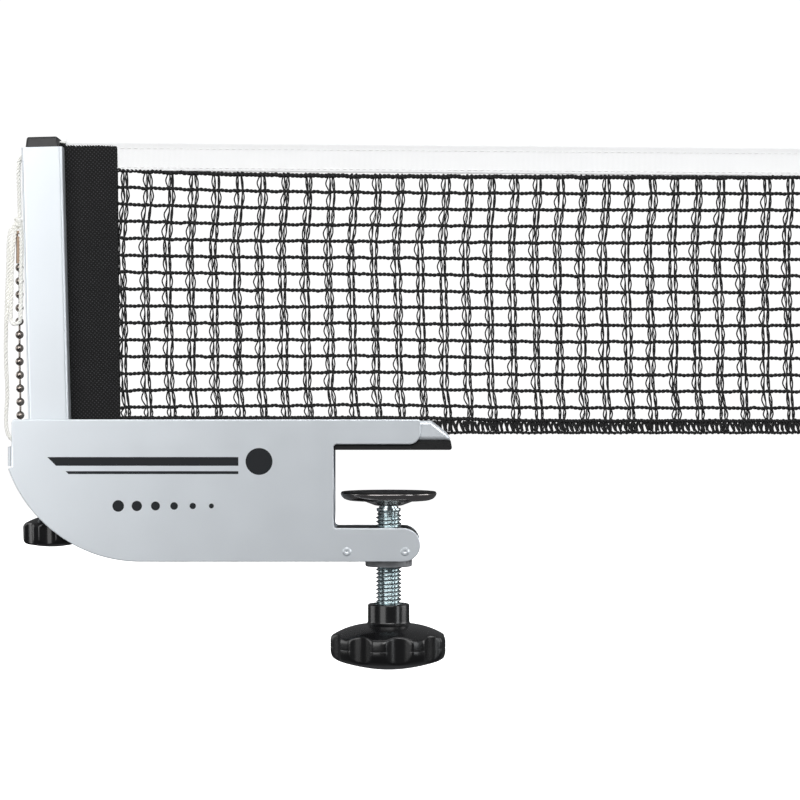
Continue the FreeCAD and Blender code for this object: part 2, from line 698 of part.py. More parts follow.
def pressure_dish():
    """Pressed metal dish, about 1.2 thick, with a round rim and a coned centre that sits on the washer."""
    profile = [
        (4.6, -27.6),
        (6.4, -27.6),
        (9.0, -26.6),
        (12.0, -25.5),
        (19.6, -25.0),
        (21.9, -24.2),
        (23.2, -22.8),
        (DISC_R, -21.3),
        (22.5, -21.3),
        (22.1, -22.4),
        (21.2, -23.3),
        (19.4, -23.9),
        (11.8, -24.4),
        (8.6, -25.5),
        (6.2, -26.4),
        (4.6, -26.4),
    ]
    return turned(SCREW_X, profile)


def pressure_pad():
    """Rubber facing: a lip that covers the dish's rim, and a shallow body inside the dish."""
    profile = [
        (0, PAD_TOP),
        (PAD_LIP_R - 0.5, PAD_TOP),
        (PAD_LIP_R, PAD_TOP - 0.3),
        (PAD_LIP_R, -21.25),
        (22.3, -21.25),
        (21.6, -22.6),
        (20.6, -23.1),
        (18.0, -23.5),
        (0, -23.5),
    ]
    return turned(SCREW_X, profile)


def clamp_knob():
    hub_r = KNOB_HUB_R
    profile = [(8.0, KNOB_TOP), (hub_r - 0.5, KNOB_TOP), (hub_r, KNOB_TOP - 0.5), (hub_r, -84.6), (11.2, -85.6)]
    profile += arc_points((11.2, -85.6), (26.4, -90.2), -0.9)[1:]
    profile += [(28.0, -91.2), (KNOB_R, -92.6), (KNOB_R, -99.0), (27.6, -101.6), (25.0, -103.2)]
    profile += arc_points((25.0, -103.2), (0, KNOB_BOTTOM), -1.1)[1:]
    profile += [(0, -92.05), (6.2, -92.05), (6.2, -91.6), (8.0, -91.6)]
    solid = turned(SCREW_X, profile)
    return scooped(
        solid, SCREW_X, KNOB_R, KNOB_SCOOPS, KNOB_FIRST_SCOOP, KNOB_SCOOP_R, KNOB_SCOOP_DEEP, -112, -86.5
    )


def knob_insert():
    """Steel bush moulded into the knob's hub, fixed to the end of the screw."""
    ring = post_cylinder(SCREW_X, 7.98, -91.55, KNOB_TOP - 0.3)
    return ring.cut(post_cylinder(SCREW_X, SCREW_R + 0.02, -95, -70))


# ---------------------------------------------------------------- output
def build():
    """Every node's name and its shape."""
    return {
        "bracket_shell": bracket_shell(),
        "jaw_channel": jaw_channel(),
        "jaw_pad": jaw_pad(),
        "post_socket": post_socket(),
        "post_tube": post_tube(),
        "chain_catch": chain_catch(),
        "spindle_bearing": spindle_bearing(),
        "nut_block": nut_block(),
        "clamp_nut": clamp_nut(),
        "nut_block_rivets": nut_block_rivets(),
        "height_knob": height_knob(),
        "height_spindle": height_spindle(),
        "spindle_clip": spindle_clip(),
        "slider_core": slider_core(),
        "slider_cap": slider_cap(),
        "slider_nut": slider_nut(),
        "keder_rod": keder_rod(),
        "net_sleeve": net_sleeve(),
        "head_tape": head_tape(),
        "head_cord": cord_tube(head_cord_route(), CORD_R, "head_cord"),
        "net_mesh": net_mesh(),
        "chain_beads": chain_beads(),
        "chain_links": chain_links(),
        "chain_clasp": chain_clasp(),
        "cord_drop": cord_tube(DROP_ROUTE, CORD_R, "cord_drop"),
        "cord_loop": cord_tube(LOOP_ROUTE, CORD_R, "cord_loop"),
        "cord_tail": cord_tube(TAIL_ROUTE, CORD_R, "cord_tail"),
        "cord_knot": cord_knot(),
        "tail_knot": tail_knot(),
        "thrust_washer": thrust_washer(),
        "clamp_screw": clamp_screw(),
        "knob_insert": knob_insert(),
        "clamp_knob": clamp_knob(),
        "pressure_dish": pressure_dish(),
        "pressure_pad": pressure_pad(),
    }


os.makedirs("parts", exist_ok=True)
for node, shape in build().items():
    if not shape.isValid():
        raise SystemExit(f"{node} is not a valid shape")
    shape.exportStep(f"parts/{node}.step")
    print(f"{node}: {len(shape.Solids)} solid(s), {shape.Volume:.0f} mm3")
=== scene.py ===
"""Table tennis net clamp: the finish of every piece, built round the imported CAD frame.

Sizes are in millimetres and are turned into metres where a mesh is made. +X runs over the table, +Z is up and
-Y is the front. The origin is on the table top, at the table's side edge.
"""

import math

import bpy
import numpy as np
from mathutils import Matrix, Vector


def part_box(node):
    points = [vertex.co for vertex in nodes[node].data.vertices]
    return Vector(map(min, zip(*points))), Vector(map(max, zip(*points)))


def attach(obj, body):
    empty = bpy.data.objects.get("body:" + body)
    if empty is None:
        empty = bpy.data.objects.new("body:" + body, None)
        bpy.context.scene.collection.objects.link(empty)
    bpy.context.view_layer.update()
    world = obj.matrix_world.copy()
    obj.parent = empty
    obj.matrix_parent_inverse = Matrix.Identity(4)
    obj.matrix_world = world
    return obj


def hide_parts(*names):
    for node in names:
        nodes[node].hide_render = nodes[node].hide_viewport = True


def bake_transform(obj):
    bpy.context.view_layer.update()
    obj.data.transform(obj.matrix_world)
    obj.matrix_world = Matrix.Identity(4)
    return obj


MM = 0.001
SEED = 7
rng = np.random.default_rng(SEED)

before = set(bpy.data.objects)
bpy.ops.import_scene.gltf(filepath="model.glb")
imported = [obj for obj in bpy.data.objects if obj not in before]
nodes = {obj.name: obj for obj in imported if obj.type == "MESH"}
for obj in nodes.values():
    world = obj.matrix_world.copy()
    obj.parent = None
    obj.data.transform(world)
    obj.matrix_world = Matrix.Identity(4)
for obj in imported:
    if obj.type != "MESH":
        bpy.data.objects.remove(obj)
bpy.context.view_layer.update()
scene = bpy.context.scene

# ---------------------------------------------------------------- sizes shared with the CAD
LEAN = math.radians(1.44)
POST_X = -138.5
SCREW_X = 26.5
CHEEK_Y = 17.0
BOSS_TOP = -54.5

CLAMP_KNOB_R = 28.5
CLAMP_HUB_R = 10.2
CLAMP_KNOB_TOP = -75.6
CLAMP_KNOB_BOTTOM = -107.8
HEIGHT_KNOB_R = 15.0
HEIGHT_KNOB_TOP = -31.3
HEIGHT_KNOB_BOTTOM = -47.7

SCREW_R = 6.35
SCREW_PITCH = 25.4 / 13
SCREW_BOTTOM = -92.0
SCREW_SHOULDER = -28.8
STUB_R = 4.0
STUB_TOP = -24.8
DISC_R = 23.6
DISC_FACE = -20.6

SLEEVE_RIGHT = -106.4
SLEEVE_BOTTOM = 6.8
SLEEVE_TOP_LEFT = 150.2
SLEEVE_TOP_RIGHT = 148.4
TAPE_LEFT = -131.6
TAPE_TOP = 151.6
TAPE_HEIGHT = 15.0
TAPE_DROP = 2.72
NET_RIGHT = 232.0

# nearest that a turned profile comes to its axis, so that the last ring of faces stays sound
AXIS_R = 0.02


# ---------------------------------------------------------------- mesh tools
def unit(vectors):
    return vectors / np.linalg.norm(vectors, axis=-1, keepdims=True)


def grid_faces(rows, columns, wrap=False):
    """Quads over a grid of vertices stored row by row. wrap joins the last column to the first."""
    row = np.arange(rows - 1)[:, None]
    column = np.arange(columns if wrap else columns - 1)[None, :]
    here, above = row * columns, (row + 1) * columns
    after = (column + 1) % columns
    quads = np.stack([here + column, here + after, above + after, above + column], -1)
    return quads.reshape(-1, 4)


class Pile:
    """Vertices and faces of one piece, gathered part by part."""

    def __init__(self):
        self.vertices = []
        self.faces = []
        self.count = 0

    def add(self, vertices, *faces):
        vertices = np.asarray(vertices, float).reshape(-1, 3)
        self.vertices.append(vertices)
        self.faces.extend(np.asarray(f, int) + self.count for f in faces if len(f))
        self.count += len(vertices)

    def piece(self, name, material, slot, body=None, replaces=(), smooth=True):
        """Makes the object. body is None for a piece that is attached to no body."""
        mesh = bpy.data.meshes.new(name)
        places = np.concatenate(self.vertices) * MM
        loops = np.concatenate([f.ravel() for f in self.faces])
        totals = np.concatenate([np.full(len(f), f.shape[1]) for f in self.faces])
        mesh.vertices.add(len(places))
        mesh.vertices.foreach_set("co", places.astype(np.float32).ravel())
        mesh.loops.add(len(loops))
        mesh.loops.foreach_set("vertex_index", loops.astype(np.int32))
        mesh.polygons.add(len(totals))
        mesh.polygons.foreach_set("loop_start", (np.cumsum(totals) - totals).astype(np.int32))
        mesh.polygons.foreach_set("use_smooth", np.full(len(totals), smooth))
        mesh.update(calc_edges=True)
        mesh.validate()
        mesh.materials.append(material)
        piece = bpy.data.objects.new(name, mesh)
        scene.collection.objects.link(piece)
        if replaces:
            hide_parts(*replaces)
        if body:
            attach(piece, body)
        return piece


def crosswise(points, across):
    """Two unit directions square to the line at each point, the first of them towards across."""
    along = unit(np.gradient(points, axis=0))
    across = np.asarray(across, float)
    first = unit(across - (along @ across)[:, None] * along)
    return first, np.cross(along, first)


def tube(pile, points, radius, sides, across=(0, 1, 0)):
    """A round tube along points. The ring's first vertex lies towards across."""
    points = np.asarray(points, float)
    first, second = crosswise(points, across)
    angle = np.arange(sides) * 2 * math.pi / sides
    ring = first[:, None] * np.cos(angle)[:, None] + second[:, None] * np.sin(angle)[:, None]
    radius = np.broadcast_to(radius, len(points))[:, None, None]
    vertices = (points[:, None] + ring * radius).reshape(-1, 3)
    rows = len(points)
    wall = grid_faces(rows, sides, wrap=True)[:, ::-1]
    start = np.arange(sides)[None, :]
    end = ((rows - 1) * sides + np.arange(sides))[None, ::-1]
    pile.add(vertices, wall, start, end)


def lathe(pile, profile, x, steps, reshape=None):
    """Turns (radius, height) points round a vertical axis at x. reshape(radius, angle) changes the radius."""
    profile = np.asarray(profile, float)
    angle = np.arange(steps) * 2 * math.pi / steps
    radius = np.repeat(profile[:, :1], steps, 1)
    height = np.repeat(profile[:, 1:], steps, 1)
    if reshape:
        radius = reshape(radius, angle[None, :])
    vertices = np.stack([x + radius * np.cos(angle), radius * np.sin(angle), height], -1)
    pile.add(vertices, grid_faces(len(profile), steps, wrap=True))


def prism(pile, outline, near, far):
    """A flat shape in X and Z, carried from near to far along Y."""
    outline = np.asarray(outline, float)
    n = len(outline)
    faces = [np.stack([outline[:, 0], np.full(n, y), outline[:, 1]], 1) for y in (near, far)]
    order = np.arange(n)
    after = np.roll(order, -1)
    sides = np.stack([order, after, n + after, n + order], 1)
    pile.add(np.concatenate(faces), order[None, ::-1], (n + order)[None, :], sides)


def eased(corners, radius, steps=5):
    """The outline with each corner between its two ends rounded off."""
    corners = [np.array(c, float) for c in corners]
    out = [corners[0]]
    for before, here, after in zip(corners, corners[1:], corners[2:]):
        back = before - here
        forth = after - here
        cut = min(radius, 0.45 * np.linalg.norm(back), 0.45 * np.linalg.norm(forth))
        a = here + cut * back / np.linalg.norm(back)
        b = here + cut * forth / np.linalg.norm(forth)
        for t in np.linspace(0, 1, steps):
            out.append((1 - t) ** 2 * a + 2 * t * (1 - t) * here + t * t * b)
    out.append(corners[-1])
    return np.array(out)


ARCH_STEPS = 9


def swell(start, end, rise):
    """Points on a shallow arch that stands rise away from the straight line, after start and up to end."""
    start, end = np.array(start, float), np.array(end, float)
    span = end - start
    across = unit(np.array([-span[1], span[0]]))
    t = np.linspace(0, 1, ARCH_STEPS)[1:, None]
    return list(start + span * t + across * rise * 4 * t * (1 - t))


def smooth_route(control, spacing):
    """Evenly spaced points on the NURBS curve that the control points draw, and the curve's length."""
    curve = bpy.data.curves.new("route", "CURVE")
    curve.dimensions = "3D"
    curve.resolution_u = 24
    spline = curve.splines.new("NURBS")
    spline.points.add(len(control) - 1)
    for point, place in zip(spline.points, control):
        point.co = (*place, 1)
    spline.order_u = 3
    spline.use_endpoint_u = True
    holder = bpy.data.objects.new("route", curve)
    line = bpy.data.meshes.new_from_object(holder)
    points = np.array([vertex.co for vertex in line.vertices])
    bpy.data.objects.remove(holder)
    bpy.data.curves.remove(curve)
    bpy.data.meshes.remove(line)
    length = np.concatenate([[0], np.cumsum(np.linalg.norm(np.diff(points, axis=0), axis=1))])
    count = max(int(length[-1] / spacing), 2) + 1
    even = np.linspace(0, length[-1], count)
    return np.stack([np.interp(even, length, points[:, k]) for k in range(3)], 1), length[-1]


def lean(vertices):
    """Tips vertices over with the post, round the post's foot."""
    vertices = np.asarray(vertices, float).reshape(-1, 3)
    x, z = vertices[:, 0] - POST_X, vertices[:, 2]
    turned_x = POST_X + x * math.cos(LEAN) - z * math.sin(LEAN)
    turned_z = x * math.sin(LEAN) + z * math.cos(LEAN)
    return np.stack([turned_x, vertices[:, 1], turned_z], 1)


def post_axis(z):
    return POST_X - z * math.tan(LEAN)


# ---------------------------------------------------------------- materials
def principled(name, colour, roughness, **sockets):
    material = bpy.data.materials.new(name)
    material.use_nodes = True
    shader = material.node_tree.nodes["Principled BSDF"]
    shader.inputs["Base Color"].default_value = (*colour, 1)
    shader.inputs["Roughness"].default_value = roughness
    for socket, value in sockets.items():
        shader.inputs[socket.replace("_", " ")].default_value = value
    return material


class Graph:
    """Short names for the nodes a material uses."""

    def __init__(self, material):
        self.tree = material.node_tree
        self.shader = self.tree.nodes["Principled BSDF"]
        self.place = self.tree.nodes.new("ShaderNodeTexCoord").outputs["Object"]

    def node(self, kind, **inputs):
        node = self.tree.nodes.new("ShaderNode" + kind)
        for key, value in inputs.items():
            socket = node.inputs[key.replace("_", " ")]
            if isinstance(value, bpy.types.NodeSocket):
                self.tree.links.new(value, socket)
            else:
                socket.default_value = value
        return node

    def stretched(self, x, y, z, turn=(0, 0, 0)):
        mapping = self.node("Mapping", Vector=self.place, Scale=(x, y, z), Rotation=turn)
        return mapping.outputs["Vector"]

    def noise(self, scale, detail=3.0, place=None):
        node = self.node("TexNoise", Vector=place or self.place, Scale=scale, Detail=detail)
        return node.outputs["Fac"]

    def ramp(self, value, low, high, start, end):
        """Maps value from low..high to start..end."""
        node = self.node(
            "MapRange", Value=value, From_Min=low, From_Max=high, To_Min=start, To_Max=end
        )
        return node.outputs["Result"]

    def mix(self, factor, first, second):
        """A colour between two colours."""
        node = self.tree.nodes.new("ShaderNodeMix")
        node.data_type = "RGBA"
        self.tree.links.new(factor, node.inputs["Factor"])
        for socket, colour in zip(("A", "B"), (first, second)):
            target = [s for s in node.inputs if s.name == socket and s.type == "RGBA"][0]
            if isinstance(colour, bpy.types.NodeSocket):
                self.tree.links.new(colour, target)
            else:
                target.default_value = (*colour, 1)
        return [s for s in node.outputs if s.type == "RGBA"][0]

    def colour(self, socket):
        self.tree.links.new(socket, self.shader.inputs["Base Color"])

    def roughness(self, socket):
        self.tree.links.new(socket, self.shader.inputs["Roughness"])

    def bump(self, height, depth_mm, strength=1.0):
        node = self.node("Bump", Height=height, Strength=strength, Distance=depth_mm * MM)
        self.tree.links.new(node.outputs["Normal"], self.shader.inputs["Normal"])


GLOSS_SPREAD = 0.06


def varied(name, colour, roughness, spread=0.12, size=60.0, grain=0.02, grain_size=1800.0, **sockets):
    """A plain finish with slow changes of tone, slight unevenness of gloss and a fine grain."""
    material = principled(name, colour, roughness, **sockets)
    graph = Graph(material)
    darker = [c * (1 - spread) for c in colour]
    lighter = [min(c * (1 + spread), 1) for c in colour]
    graph.colour(graph.mix(graph.noise(size), darker, lighter))
    fine = graph.noise(grain_size, 2.0)
    smoothest, roughest = roughness * (1 - GLOSS_SPREAD), min(roughness * (1 + GLOSS_SPREAD), 1)
    graph.roughness(graph.ramp(graph.noise(size * 4), 0.3, 0.7, smoothest, roughest))
    graph.bump(fine, grain)
    return material


def laid_yarn(name, colour, roughness, size, fuzz, sheen=0.3, **sockets):
    """Twisted yarn: fine oblique fibres and a soft sheen."""
    material = principled(name, colour, roughness, Sheen_Weight=sheen, Sheen_Roughness=0.5, **sockets)
    graph = Graph(material)
    fibres = graph.noise(1.0, 3.0, graph.stretched(9000, 9000, 1400, (0.5, 0.35, 0)))
    darker = [c * 0.86 for c in colour]
    lighter = [min(c * 1.06, 1) for c in colour]
    graph.colour(graph.mix(graph.noise(size), darker, lighter))
    graph.bump(fibres, fuzz)
    return material


paint = varied(
    "powder_coat", (0.80, 0.845, 0.885), 0.33, spread=0.012, size=14, grain=0.0015, grain_size=2200,
    Metallic=0.5, Coat_Weight=0.35, Coat_Roughness=0.2,
)
rubber = varied(
    "jaw_rubber", (0.008, 0.008, 0.0085), 0.62, spread=0.25, size=90, grain=0.03, grain_size=2600,
    Specular_IOR_Level=0.3,
)
bush = varied("bush_plastic", (0.60, 0.60, 0.58), 0.5, grain_size=1500)
socket_plastic = varied("socket_plastic", (0.035, 0.035, 0.038), 0.55, grain_size=1600)
boss_grey = varied("nut_block_boss", (0.33, 0.34, 0.355), 0.42, spread=0.1, grain=0.01, grain_size=1400)
# A near-black copy of the nut block's finish for its faces above the boss: painted shade where they sit in
# the lower arm.
block_painted_shade = varied("nut_block_plastic", (0.012, 0.012, 0.013), 0.55, spread=0.15, grain_size=1400)
gloss_black = varied(
    "knob_plastic", (0.006, 0.006, 0.0065), 0.24, spread=0.2, grain=0.006, grain_size=700,
    Coat_Weight=0.25, Coat_Roughness=0.08,
)
cap_black = varied("cap_plastic", (0.013, 0.013, 0.014), 0.45, spread=0.12, grain=0.018, grain_size=2400)
zinc = varied(
    "zinc_steel", (0.64, 0.73, 0.75), 0.2, spread=0.08, size=160, grain=0.002, grain_size=1500, Metallic=1.0
)
chrome = varied(
    "dish_chrome", (0.50, 0.47, 0.46), 0.17, spread=0.12, size=70, grain=0.003, grain_size=900, Metallic=1.0
)
chain_metal = varied("ball_chain", (0.33, 0.29, 0.26), 0.24, spread=0.25, size=300, grain=0.004, Metallic=1.0)
bronze = varied("clasp_metal", (0.30, 0.22, 0.16), 0.33, spread=0.2, size=240, grain=0.008, Metallic=1.0)
brass = varied("brass", (0.75, 0.58, 0.28), 0.3, Metallic=1.0)
# The cord's emission is painted light: a faint warm glow that makes the cord brighter than its lamps make it.
rope_fibre_with_painted_glow = laid_yarn(
    "cord_fabric", (0.95, 0.945, 0.90), 0.72, 260, 0.05,
    Emission_Color=(1, 0.985, 0.93, 1), Emission_Strength=0.13,
)
net_yarn = laid_yarn("net_fabric", (0.008, 0.008, 0.0085), 0.75, 200, 0.04, sheen=0.03)
stitch_yarn = laid_yarn("stitch_yarn", (0.84, 0.84, 0.83), 0.6, 200, 0.03)
decal_ink = varied("decal_ink", (0.012, 0.014, 0.017), 0.5, grain=0.001, Specular_IOR_Level=0.25)


def tape_cloth():
    """White plain-woven tape: threads along X and across it, and a faint white glow of painted light."""
    # The emission is painted light: the tape glows faintly white of itself.
    material = principled(
        "tape_fabric", (0.90, 0.90, 0.90), 0.75, Sheen_Weight=0.3, Sheen_Roughness=0.5,
        Emission_Color=(1, 1, 1, 1), Emission_Strength=0.1,
    )
    graph = Graph(material)
    along = graph.node("TexWave", Vector=graph.stretched(0, 0, 1), Scale=620.0, Distortion=0.4, Detail=1.0)
    along.bands_direction = "Z"
    over = graph.node("TexWave", Vector=graph.stretched(1, 0, 0), Scale=520.0, Distortion=0.4, Detail=1.0)
    height = graph.node("Math")
    height.operation = "MULTIPLY"
    graph.tree.links.new(along.outputs["Fac"], height.inputs[0])
    graph.tree.links.new(over.outputs["Fac"], height.inputs[1])
    tone = graph.noise(70)
    graph.colour(graph.mix(tone, (0.92, 0.925, 0.93), (0.97, 0.97, 0.965)))
    graph.bump(height.outputs[0], 0.07)
    return material


def sleeve_cloth():
    """Black twill webbing: rows of small raised crests on both diagonals, coloured lighter as painted
    highlight, with the hollows between them painted near black as painted shade, and slow random changes of
    tone.
    """
    material = principled("sleeve_fabric", (0.02, 0.02, 0.022), 0.7, Specular_IOR_Level=0.3)
    graph = Graph(material)
    lattice = []
    for turn in (0.86, -0.70):
        diagonal = graph.stretched(1, 0, 1, (0, turn, 0))
        wave = graph.node("TexWave", Vector=diagonal, Scale=230.0, Distortion=0.4)
        wave.bands_direction = "X"
        lattice.append(wave.outputs["Fac"])
    weave_crests = graph.node("Math")
    weave_crests.operation = "MULTIPLY"
    for socket, wave in zip(weave_crests.inputs, lattice):
        graph.tree.links.new(wave, socket)
    # Painted light: where the weave stands up it takes the lighter colour as painted highlight, and its
    # hollows are painted near black as painted shade.
    painted_crest_light = graph.ramp(weave_crests.outputs[0], 0.35, 0.95, 0.0, 1.0)
    depth = graph.mix(graph.noise(110), (0.022, 0.022, 0.024), (0.065, 0.065, 0.07))
    graph.colour(graph.mix(painted_crest_light, (0.001, 0.001, 0.0013), depth))
    graph.bump(weave_crests.outputs[0], 0.12)
    return material


tape_material_with_painted_glow = tape_cloth()
sleeve_material = sleeve_cloth()

FINISHES = (
    (paint, ("bracket_shell", "jaw_channel", "post_tube", "nut_block_rivets")),
    (rubber, ("jaw_pad",)),
    (zinc, ("chain_catch", "clamp_nut", "height_spindle", "spindle_clip", "thrust_washer", "knob_insert")),
    (bush, ("spindle_bearing", "keder_rod")),
    (boss_grey, ("nut_block",)),
    (cap_black, ("slider_core", "slider_cap")),
    (brass, ("slider_nut",)),
    (bronze, ("chain_clasp",)),
    (rope_fibre_with_painted_glow, ("tail_knot",)),
)


def finish_nodes():
    """Gives the kept CAD nodes their materials. The nut block's boss is grey, and its faces above the boss,
    down in the lower arm, are painted near black as painted shade.
    """
    for material, names in FINISHES:
        for name in names:
            mesh = nodes[name].data
            mesh.materials.clear()
            mesh.materials.append(material)
    block = nodes["nut_block"].data
    block.materials.append(block_painted_shade)
    # Faces above the boss get the near-black copy, which is painted shade.
    for face in block.polygons:
        face.material_index = int(face.center.z > BOSS_TOP * MM)


finish_nodes()


# ---------------------------------------------------------------- camera and light
CAMERA_PLACE = (0.03206, -1.140, 0.02416)
LENS = 104.67


def place_camera():
    """A level camera that looks straight at the front."""
    data = bpy.data.cameras.new("camera")
    data.lens = LENS
    data.sensor_width = 36
    data.clip_start = 0.01
    camera = bpy.data.objects.new("camera", data)
    camera.location = CAMERA_PLACE
    camera.rotation_euler = (math.radians(90), 0, 0)
    scene.collection.objects.link(camera)
    scene.camera = camera
    scene.view_settings.view_transform = "Standard"


def area_light(name, place, towards, size, power, tint=(1, 1, 1)):
    data = bpy.data.lights.new(name, "AREA")
    data.shape = "RECTANGLE"
    data.size, data.size_y = size
    data.energy = power
    data.color = tint
    light = bpy.data.objects.new(name, data)
    light.location = place
    light.rotation_euler = (Vector(towards) - Vector(place)).to_track_quat("-Z", "Y").to_euler()
    scene.collection.objects.link(light)
    light.visible_camera = False
    return light


def place_lights():
    """Large soft lights all round. The one behind leaves no shine, so that black tops stay black."""
    area_light("key", (-0.80, -1.30, 0.45), (-0.08, 0, 0.02), (0.9, 1.4), 10.5)
    area_light("front", (0.35, -1.9, 1.1), (0.03, 0, 0.02), (1.6, 0.8), 23)
    area_light("right_front", (1.15, -0.85, 0.30), (0, 0, 0.02), (0.35, 1.1), 4, tint=(0.95, 0.98, 1.0))
    area_light("right", (1.5, 0.15, 0.35), (0, 0, 0.02), (0.9, 1.0), 8)
    area_light("left", (-1.4, 0.25, 0.30), (0, 0, 0.02), (0.9, 1.0), 5)
    area_light("top", (0.05, 0.1, 1.5), (0.03, 0, 0), (1.2, 1.0), 6)
    back = area_light("back", (0.2, 1.7, 0.8), (0, 0, 0.03), (1.8, 1.1), 34)
    back.visible_glossy = False


place_camera()
place_lights()


def sky():
    """A dim grey surround that is darker below than above."""
    world = bpy.data.worlds.new("studio")
    scene.world = world
    world.use_nodes = True
    tree = world.node_tree
    place = tree.nodes.new("ShaderNodeTexCoord").outputs["Generated"]
    split = tree.nodes.new("ShaderNodeSeparateXYZ")
    tree.links.new(place, split.inputs[0])
    ramp = tree.nodes.new("ShaderNodeValToRGB")
    tree.links.new(split.outputs["Z"], ramp.inputs[0])
    ramp.color_ramp.elements[0].position = 0.0
    ramp.color_ramp.elements[0].color = (0.42, 0.43, 0.45, 1)
    ramp.color_ramp.elements[1].position = 0.7
    ramp.color_ramp.elements[1].color = (0.95, 0.96, 0.98, 1)
    tree.links.new(ramp.outputs[0], tree.nodes["Background"].inputs["Color"])
    tree.nodes["Background"].inputs["Strength"].default_value = 0.19


sky()


FLOOR_Z = -0.1305
DOME_R = 5.5


def glowing_white(piece, colour, roughness, strength):
    """Gives a stage mesh a colour that glows by itself, but lights nothing else."""
    piece.data.materials.append(
        principled(piece.name, colour, roughness, Emission_Color=(1, 1, 1, 1), Emission_Strength=strength)
    )
    piece.visible_diffuse = False
    piece.visible_glossy = False


def stage():
    """A plain white floor and a white dome round it, which only the camera sees."""
    bpy.ops.mesh.primitive_circle_add(vertices=96, radius=6, fill_type="NGON", location=(0, 0, FLOOR_Z))
    floor = bpy.context.object
    floor.name = "floor"
    glowing_white(floor, (0.60, 0.60, 0.60), 0.9, 0.92)
    bpy.ops.mesh.primitive_uv_sphere_add(radius=DOME_R, location=(0, 0, 0))
    dome = bpy.context.object
    dome.name = "dome"
    glowing_white(dome, (0, 0, 0), 1.0, 1.05)
    dome.visible_transmission = False
    dome.visible_shadow = False
    dome.visible_volume_scatter = False


stage()


# ---------------------------------------------------------------- cords
ROPE_R = 1.1
LAY = 5.6
STRANDS = 3
STRAND_OUT = 0.53
STRAND_R = 0.46


def rope(pile, points, length, across=(0, 1, 0), radius=ROPE_R):
    """Strands laid round the route, with a slight unevenness from strand to strand."""
    first, second = crosswise(points, across)
    at = np.linspace(0, length, len(points))
    for strand in range(STRANDS):
        turn = 2 * math.pi * (at / LAY + strand / STRANDS)
        offset = first * np.cos(turn)[:, None] + second * np.sin(turn)[:, None]
        wander = 1 + 0.03 * np.sin(at * 1.7 + strand * 2)
        tube(pile, points + offset * (STRAND_OUT * radius * wander)[:, None], STRAND_R * radius, 9, across)


# control points of the cord's three free stretches
DROP = [
    (-151.0, 0, 144.3), (-153.2, -0.1, 143.8), (-154.6, -0.3, 141.2), (-154.9, -0.6, 136),
    (-154.6, -0.4, 126), (-154.3, 0, 113.6),
]
LOOP = [
    (-153.5, -1.4, 108.4), (-152.8, -2.9, 100.5), (-153.2, -3.2, 86), (-153.1, -3.2, 73.5),
    (-153.4, -3.2, 66.5), (-153.5, -3.2, 62.9), (-154.9, -3.1, 61.4), (-157.0, -2.2, 61.2),
    (-158.4, -1.4, 62.8), (-158.7, -0.6, 67), (-158.4, 0.2, 75.5), (-158.3, 0.3, 89),
    (-157.4, -0.4, 101), (-156.0, -1.0, 109.2),
]
TAIL = [
    (-155.6, -0.6, 110.2), (-157.4, -0.7, 109.4), (-158.9, -0.8, 107), (-159.6, -0.9, 101.5),
    (-159.8, -0.5, 91.5), (-160.6, 0.5, 76), (-161.4, 1.8, 58), (-161.7, 3.2, 41), (-160.9, 4.4, 28),
    (-162.0, 5.4, 17), (-162.0, 6.0, 10.5), (-160.8, 6.4, 6.2), (-158.4, 6.5, 4.0), (-155.8, 6.6, 3.1),
    (-154.0, 6.7, 0.9), (-153.5, 6.8, -2.6),
]


def rope_piece(name, control, body):
    """One stretch of the cord, from where it comes out to the knot at its far end."""
    points, length = smooth_route(control, 0.45)
    pile = Pile()
    rope(pile, points, length)
    piece = pile.piece(name, rope_fibre_with_painted_glow, "cord_fabric", body, [name.removesuffix("_rope")])
    return piece


def cords():
    """The drop and the tail stretch between the bracket and the chain; the loop goes with the chain."""
    drop = rope_piece("cord_drop_rope", DROP, None)
    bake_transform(drop)
    rope_piece("cord_loop_rope", LOOP, "tension_chain")
    tail = rope_piece("cord_tail_rope", TAIL, None)
    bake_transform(tail)


def hitch():
    """Wraps of the same cord round the drop, the loop's ends and the clasp's eye."""
    centre_x, centre_y = -154.9, -0.6
    bottom, rise = 108.6, 4.4
    turns = 2.6
    wrap_r, tightening = 1.25, 0.25
    wrapped_cord_r, bight_cord_r = 0.92, 0.8
    t = np.linspace(0, 1, 150)
    angle = 2 * math.pi * turns * t + 0.6
    out = wrap_r + tightening * np.sin(t * 9)
    points = np.stack([centre_x + out * np.cos(angle), centre_y + out * np.sin(angle), bottom + rise * t], 1)
    pile = Pile()
    rope(pile, points, 2 * math.pi * turns * 1.4, across=(0, 0, 1), radius=wrapped_cord_r)
    bight = [(-153.4, -1.2, 108.3), (-153.1, -2.3, 110.2), (-154.2, -2.6, 112.0), (-155.8, -1.9, 113.0)]
    points, length = smooth_route(bight, 0.3)
    rope(pile, points, length, radius=bight_cord_r)
    pile.piece("cord_knot_rope", rope_fibre_with_painted_glow, "cord_fabric", "tension_chain", ["cord_knot"])


cords()
hitch()


# ---------------------------------------------------------------- ball chain
BEAD_R = 2.0
BEAD_PITCH = 6.57
BEAD_COUNT = 17
LOWEST_BEAD = -16.15
CHAIN_X_LOW = -154.0
CHAIN_X_HIGH = -154.4
CHAIN_BEND_Z = 24
CHAIN_BEND_LENGTH = 20
RIM_ANGLE = 78
RIM_R = 0.36
PIN_R = 0.5


def bead_centre(i):
    """The chain comes down outside the post and bends a little towards its catch."""
    z = LOWEST_BEAD + i * BEAD_PITCH
    share = min(max((z - CHAIN_BEND_Z) / CHAIN_BEND_LENGTH, 0), 1)
    return np.array([CHAIN_X_LOW + (CHAIN_X_HIGH - CHAIN_X_LOW) * share, 0, z])


